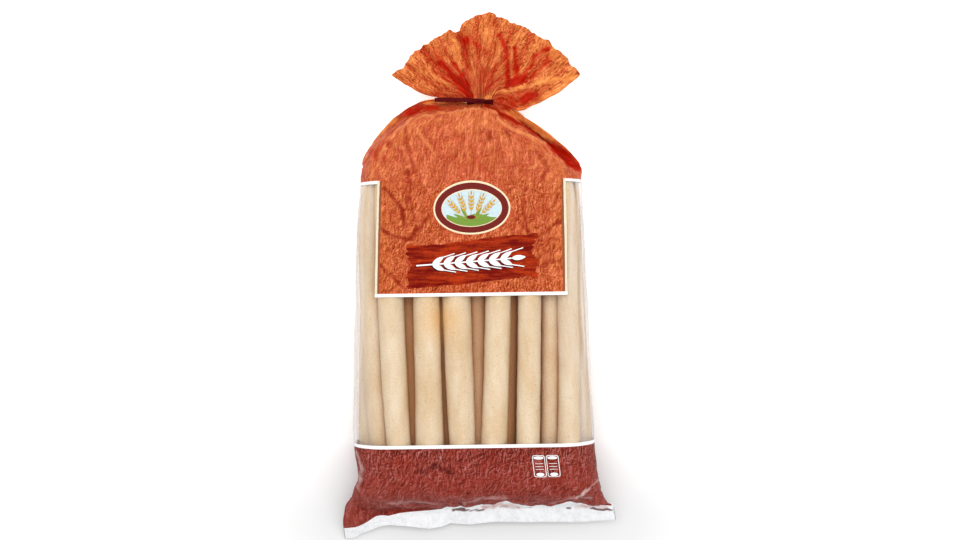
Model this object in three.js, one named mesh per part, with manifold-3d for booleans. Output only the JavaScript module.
// A clear printed film bag of breadsticks, tied at the neck, lying on its back.
// Millimetres. X runs across the bag, Y from the bottom seal to the gathered mouth, Z up from
// the table. The origin is on the table, under the middle of the bag.

import * as THREE from "three";
import { mergeVertices } from "three/addons/utils/BufferGeometryUtils.js";
import Module from "manifold-3d";

// Driving dimensions of the filled bag
const THICKNESS = 37; // three layers of breadsticks
const MIDDLE = THICKNESS / 2;
const FILM_PAIR = 0.8; // two films pressed together, made thick enough to be solid
const FIN_WIDTH = 138.6; // sealed fin, as wide as the flat bag
const FIN_RISE = 11; // height of the fin above the table, where the films meet
const FIN_DROP = 6; // how much lower its free edge hangs
const BAND_LINE = -86.5; // top of the brown band
const PANEL_LINE = -12.6; // bottom of the orange panel
const BORDER_LINE = 44.2; // bottom of the orange top
const LINE_RISE = 0.8; // how much higher each printed line stands on the right than on the left
const SHIFT_Y = 2.1; // last of all, brings the middle of the whole length over the origin

// Gathered neck and the fan of film above it
const NECK_Y = 83.5;
const NECK_RADIUS = 5.4;
const NECK_HALF = 1.2; // half the length of the round neck
const FAN_Y = 85.2; // the point that the fan spreads from
const FOLD_DEPTH = 4.6; // depth of the fan's deeper valleys
const MOUTH_GAP = 7.5; // half the opening between the front and back films at the mouth

// Tie round the neck
const TIE_CLEARANCE = 0.35;
const TIE_BAND = 2.0; // width of the flat tie
const TIE_METAL = 0.9; // its thickness
const TIE_LEFT = -22.5; // where the long end stops
const TIE_RIGHT = 6.5; // where the short end stops

// Fineness of the faceted bag
const COLUMNS = 96;
const STEPS = [1, 3, 4, 4, 3, 3, 3, 5, 4, 5, 1, 3, 5, 6, 3]; // rows between neighbouring stations; the fin is straight

// Flattened rings of the fin, the filled body and what joins them, from the seal upwards.
// left and right are the silhouette, bottom and top the heights of the back and front films.
const BODY = [
  { y: -129.0, left: -FIN_WIDTH / 2, right: FIN_WIDTH / 2, bottom: FIN_RISE - FIN_DROP, top: FIN_RISE - FIN_DROP + FILM_PAIR },
  { y: -120.4, left: -FIN_WIDTH / 2, right: 67.4, bottom: FIN_RISE, top: FIN_RISE + 1.6 * FILM_PAIR },
  { y: -117.4, left: -67.0, right: 64.0, bottom: 5.5, top: 19 },
  { y: -110.4, left: -63.6, right: 60.6, bottom: 0.6, top: 32.5 },
  { y: -102.5, left: -60.8, right: 58.8, bottom: 0, top: 36.6 },
  { y: BAND_LINE, left: -62.8, right: 57.2, bottom: 0, top: THICKNESS },
  { y: PANEL_LINE, left: -62.0, right: 53.4, bottom: 0, top: THICKNESS },
  { y: BORDER_LINE, left: -59.7, right: 50.8, bottom: 0, top: THICKNESS - 0.8 },
];

// Two rings of the shoulder, as points at shares of the way round: 0 is the left side, 0.25 the
// middle of the front, 0.5 the right side and 0.75 the middle of the back.
const SHOULDER = [
  [
    { share: 0, x: -56.4, y: 59.5, z: 20 },
    { share: 0.06, x: -51.0, y: 60.4, z: 31 },
    { share: 0.125, x: -36.0, y: 71.0, z: 35.8 },
    { share: 0.25, x: -3.0, y: 78.0, z: 35 },
    { share: 0.3, x: 5.0, y: 77.6, z: 34.4 },
    { share: 0.335, x: 12.0, y: 72.2, z: 35 },
    { share: 0.375, x: 23.0, y: 66.2, z: 35.4 },
    { share: 0.425, x: 36.5, y: 57.5, z: 33 },
    { share: 0.457, x: 40.2, y: 56.6, z: 20 },
    { share: 0.485, x: 49.4, y: 53.0, z: 22 },
    { share: 0.5, x: 50.7, y: 50.8, z: 19 },
    { share: 0.56, x: 44.0, y: 55.0, z: 6 },
    { share: 0.625, x: 26.0, y: 66.0, z: 1.6 },
    { share: 0.75, x: -3.0, y: 75.0, z: 1.6 },
    { share: 0.875, x: -36.0, y: 68.0, z: 1.6 },
    { share: 0.94, x: -50.0, y: 60.0, z: 7 },
  ],
  [
    { share: 0, x: -31.0, y: 83.2, z: 21 },
    { share: 0.03, x: -31.0, y: 80.0, z: 19.5 },
    { share: 0.07, x: -29.0, y: 78.6, z: 25 },
    { share: 0.125, x: -21.0, y: 79.0, z: 28 },
    { share: 0.25, x: -2.0, y: 80.4, z: 28.5 },
    { share: 0.3, x: 4.0, y: 80.0, z: 28.5 },
    { share: 0.335, x: 8.0, y: 78.4, z: 28 },
    { share: 0.375, x: 12.0, y: 76.8, z: 27 },
    { share: 0.425, x: 16.6, y: 74.4, z: 25 },
    { share: 0.457, x: 18.4, y: 74.6, z: 19 },
    { share: 0.485, x: 21.0, y: 76.8, z: 22 },
    { share: 0.5, x: 22.8, y: 75.8, z: 19 },
    { share: 0.56, x: 18.0, y: 74.8, z: 12 },
    { share: 0.625, x: 13.0, y: 77.4, z: 9 },
    { share: 0.75, x: -1.0, y: 79.6, z: 8 },
    { share: 0.875, x: -17.0, y: 78.4, z: 9 },
    { share: 0.94, x: -28.0, y: 79.0, z: 12.5 },
  ],
];

// Reach of the orange rim at even steps across the fan, with its notch and its lobes
const RIM_REACH = [46, 40.6, 39.7, 37.8, 37.0, 37.4, 35.5, 39.2, 41.4, 43, 41.3, 40.8, 41.5, 43, 44.8, 47.6, 51.4];

// Rings of the fan above the neck. The angles are those of its left and right edges, seen from
// the front with the neck as centre. reach is the distance from the neck across the fan.
const FAN = [
  { leftAngle: 184, rightAngle: -8, reach: [10, 10, 10, 10, 10, 10, 10, 10, 9.5], gap: 0.5, fold: 0.3 },
  { leftAngle: 178, rightAngle: -19, reach: [22.5, 22, 22, 22, 23, 23, 23, 22, 18.6], gap: 0.6, fold: 0.8 },
  { leftAngle: 165, rightAngle: 13, reach: RIM_REACH, gap: 0.9, fold: 1 },
  { leftAngle: 157, rightAngle: 25.8, reach: [58, 50.5, 47.8, 47.6, 47.8, 49.5, 51, 56.5, 64.5], gap: 1, fold: 0.9 },
];
const MOUTH = FAN[FAN.length - 1];
const EDGE_BEND = 5; // how closely the bent edges of an inner ring keep to the edge

// Radial valleys of the fan: place across it, depth and half width
const VALLEYS = [
  { at: 0.06, depth: 0.5, width: 0.026 },
  { at: 0.16, depth: 0.95, width: 0.034 },
  { at: 0.265, depth: 0.55, width: 0.026 },
  { at: 0.385, depth: 1.3, width: 0.046 },
  { at: 0.49, depth: 0.5, width: 0.024 },
  { at: 0.59, depth: 1.15, width: 0.038 },
  { at: 0.68, depth: 0.6, width: 0.026 },
  { at: 0.775, depth: 1.0, width: 0.036 },
  { at: 0.87, depth: 0.75, width: 0.026 },
];

const degrees = Math.PI / 180;

function smoothStep(value) {
  const share = Math.min(1, Math.max(0, value));
  return share * share * (3 - 2 * share);
}

// A smooth curve through evenly spaced numbers, read at a share from 0 to 1.
function through(values, share) {
  const place = share * (values.length - 1);
  const from = Math.min(values.length - 2, Math.floor(place));
  const step = place - from;
  return values[from] + (values[from + 1] - values[from]) * smoothStep(step);
}

// A ring with flat front and back and round sides. share goes from the left side over the front
// to the right side at 0.5, and home underneath.
function flattenedRing(share, ring) {
  const radius = (ring.top - ring.bottom) / 2;
  const corner = (Math.PI / 2) * radius;
  const flat = ring.right - ring.left - 2 * radius;
  const half = flat + 2 * corner;
  const onFront = share <= 0.5;
  const walked = (onFront ? share : 1 - share) * 2 * half;
  let x = ring.left + radius + walked - corner;
  let rise = radius;
  if (walked < corner) {
    x = ring.left + radius * (1 - Math.cos(walked / radius));
    rise = radius * Math.sin(walked / radius);
  } else if (walked > half - corner) {
    x = ring.right - radius * (1 - Math.cos((half - walked) / radius));
    rise = radius * Math.sin((half - walked) / radius);
  }
  const z = (ring.top + ring.bottom) / 2 + (onFront ? rise : -rise);
  return new THREE.Vector3(x, ring.y + (LINE_RISE * x) / 57, z);
}

// The fin is wavy, and its left end is bent down.
function finPoint(share, ring, looseness) {
  const point = flattenedRing(share, ring);
  const bend = smoothStep((-40 - point.x) / 24);
  const wave = Math.sin(point.x / 9) + 0.6 * Math.sin(point.x / 5.3 + 1);
  point.y += looseness * wave * 0.5 - 7.6 * bend * bend;
  point.z += looseness * (wave * 0.9 - 3 * bend);
  return point;
}

function shoulderPoint(share, ring) {
  const ends = [...ring, { ...ring[0], share: 1 }];
  const next = ends.findIndex((end) => end.share >= share && end.share > 0);
  const from = ends[next - 1];
  const to = ends[next];
  const blend = smoothStep((share - from.share) / (to.share - from.share));
  const mix = (a, b) => a + (b - a) * (0.5 * blend + (0.5 * (share - from.share)) / (to.share - from.share));
  return new THREE.Vector3(mix(from.x, to.x), mix(from.y, to.y), mix(from.z, to.z));
}

function neckPoint(share, y) {
  const angle = 2 * Math.PI * share;
  const x = -NECK_RADIUS * Math.cos(angle);
  const z = MIDDLE + NECK_RADIUS * Math.sin(angle);
  return new THREE.Vector3(x, y, z);
}

// Height of the folds at a share of the way across the fan: sharp valleys in a slow wave. The
// fan's right end is one smooth flap.
function folds(across) {
  const fade = smoothStep(12 * across) * smoothStep(8 * (0.99 - across));
  const wave = 0.35 + 0.35 * Math.sin(8.2 * across + 1);
  const cuts = VALLEYS.map(({ at, depth, width }) => depth * Math.exp(-Math.abs(across - at) / width));
  return fade * (wave - cuts.reduce((sum, cut) => sum + cut, 0));
}

// Direction of the fan's film at a share of the way across. It runs straight out from the neck,
// except near the edges of the inner rings.
function fanAngle(across, ring) {
  const straight = MOUTH.leftAngle + (MOUTH.rightAngle - MOUTH.leftAngle) * across;
  const left = (ring.leftAngle - MOUTH.leftAngle) * (1 - across) ** EDGE_BEND;
  const right = (ring.rightAngle - MOUTH.rightAngle) * across ** EDGE_BEND;
  return (straight + left + right) * degrees;
}

function fanPoint(share, ring) {
  const across = share <= 0.5 ? 2 * share : 2 - 2 * share;
  const side = share <= 0.5 ? 1 : -1;
  const angle = fanAngle(across, ring);
  const reach = through(ring.reach, across);
  const gap = FILM_PAIR / 2 + MOUTH_GAP * ring.gap * Math.sin(Math.PI * across) ** 0.7;
  const z = MIDDLE + side * gap + FOLD_DEPTH * ring.fold * folds(across);
  return new THREE.Vector3(reach * Math.cos(angle), FAN_Y + reach * Math.sin(angle), z);
}

// One strand of film from the seal to the mouth, at a share of the way round.
function strand(share) {
  return new THREE.CatmullRomCurve3([
    finPoint(share, BODY[0], 1),
    finPoint(share, BODY[1], 0.5),
    ...BODY.slice(2).map((ring) => flattenedRing(share, ring)),
    ...SHOULDER.map((ring) => shoulderPoint(share, ring)),
    neckPoint(share, NECK_Y - NECK_HALF),
    neckPoint(share, NECK_Y + NECK_HALF),
    ...FAN.map((ring) => fanPoint(share, ring)),
  ]);
}

function bagGeometry() {
  const stations = [0];
  STEPS.forEach((steps, gap) => {
    for (let step = 1; step <= steps; step += 1) {
      stations.push((gap + step / steps) / STEPS.length);
    }
  });
  const strands = Array.from({ length: COLUMNS }, (_, column) => strand(column / COLUMNS));
  const positions = [];
  for (const station of stations) {
    for (const film of strands) {
      const point = film.getPoint(station);
      positions.push(point.x, point.y, Math.max(0, point.z));
    }
  }
  const at = (row, column) => row * COLUMNS + ((column + COLUMNS) % COLUMNS);
  const faces = [];
  for (let row = 0; row < stations.length - 1; row += 1) {
    for (let column = 0; column < COLUMNS; column += 1) {
      faces.push(at(row, column), at(row, column + 1), at(row + 1, column + 1));
      faces.push(at(row, column), at(row + 1, column + 1), at(row + 1, column));
    }
  }
  const last = stations.length - 1;
  for (let column = 0; column < COLUMNS / 2; column += 1) {
    if (column > 0) {
      faces.push(at(0, column), at(0, -column), at(0, column + 1));
      faces.push(at(last, column), at(last, column + 1), at(last, -column));
    }
    if (column < COLUMNS / 2 - 1) {
      faces.push(at(0, -column), at(0, -column - 1), at(0, column + 1));
      faces.push(at(last, -column), at(last, column + 1), at(last, -column - 1));
    }
  }
  const geometry = new THREE.BufferGeometry();
  geometry.setAttribute("position", new THREE.Float32BufferAttribute(positions, 3));
  geometry.setIndex(faces);
  return geometry;
}

// A flat strip of the tie along a route, its broad side facing the front and the back.
function tieStrip(points) {
  const route = new THREE.CatmullRomCurve3(points);
  const section = new THREE.Shape();
  section.moveTo(-TIE_METAL / 2, -TIE_BAND / 2);
  section.lineTo(TIE_METAL / 2, -TIE_BAND / 2);
  section.lineTo(TIE_METAL / 2, TIE_BAND / 2);
  section.lineTo(-TIE_METAL / 2, TIE_BAND / 2);
  return new THREE.ExtrudeGeometry(section, { steps: 12, bevelEnabled: false, extrudePath: route });
}

function tieLoop() {
  const inner = NECK_RADIUS + TIE_CLEARANCE;
  const outer = inner + TIE_METAL;
  const half = TIE_BAND / 2;
  const profile = [
    new THREE.Vector2(inner, -half),
    new THREE.Vector2(outer, -half),
    new THREE.Vector2(outer, half),
    new THREE.Vector2(inner, half),
    new THREE.Vector2(inner, -half),
  ];
  return new THREE.LatheGeometry(profile, 40).translate(0, NECK_Y, MIDDLE);
}

async function joined(geometries) {
  const wasm = await Module();
  wasm.setup();
  const solids = geometries.map((geometry) => {
    geometry.deleteAttribute("normal");
    geometry.deleteAttribute("uv");
    const merged = mergeVertices(geometry, 1e-4);
    const vertProperties = new Float32Array(merged.attributes.position.array);
    const triVerts = new Uint32Array(merged.index.array);
    return new wasm.Manifold(new wasm.Mesh({ numProp: 3, vertProperties, triVerts }));
  });
  const mesh = solids.reduce((whole, solid) => whole.add(solid)).getMesh();
  const geometry = new THREE.BufferGeometry();
  geometry.setAttribute("position", new THREE.Float32BufferAttribute(mesh.vertProperties, 3));
  geometry.setIndex([...mesh.triVerts]);
  return geometry;
}

async function tieGeometry() {
  const front = MIDDLE + NECK_RADIUS + TIE_CLEARANCE + TIE_METAL / 2;
  const longEnd = tieStrip([
    new THREE.Vector3(2, NECK_Y + 0.2, front),
    new THREE.Vector3(-6, NECK_Y + 0.5, front),
    new THREE.Vector3(-13, NECK_Y + 0.9, front - 0.6),
    new THREE.Vector3(TIE_LEFT, NECK_Y + 0.9, front - 1),
  ]);
  const shortEnd = tieStrip([
    new THREE.Vector3(-2, NECK_Y + 0.3, front + 0.4),
    new THREE.Vector3(2.5, NECK_Y + 0.3, front + 0.8),
    new THREE.Vector3(TIE_RIGHT, NECK_Y, front + 2),
  ]);
  return joined([tieLoop(), longEnd, shortEnd]);
}

const film = new THREE.MeshStandardMaterial({ color: 0xd15a30, roughness: 0.45, metalness: 0 });
const maroonPlastic = new THREE.MeshStandardMaterial({ color: 0x70100f, roughness: 0.5, metalness: 0 });

const pack = new THREE.Group();

const bag = new THREE.Mesh(bagGeometry().translate(0, SHIFT_Y, 0), film);
bag.name = "breadstick_bag";
pack.add(bag);

const tie = new THREE.Mesh((await tieGeometry()).translate(0, SHIFT_Y, 0), maroonPlastic);
tie.name = "neck_tie";
pack.add(tie);

export default pack;
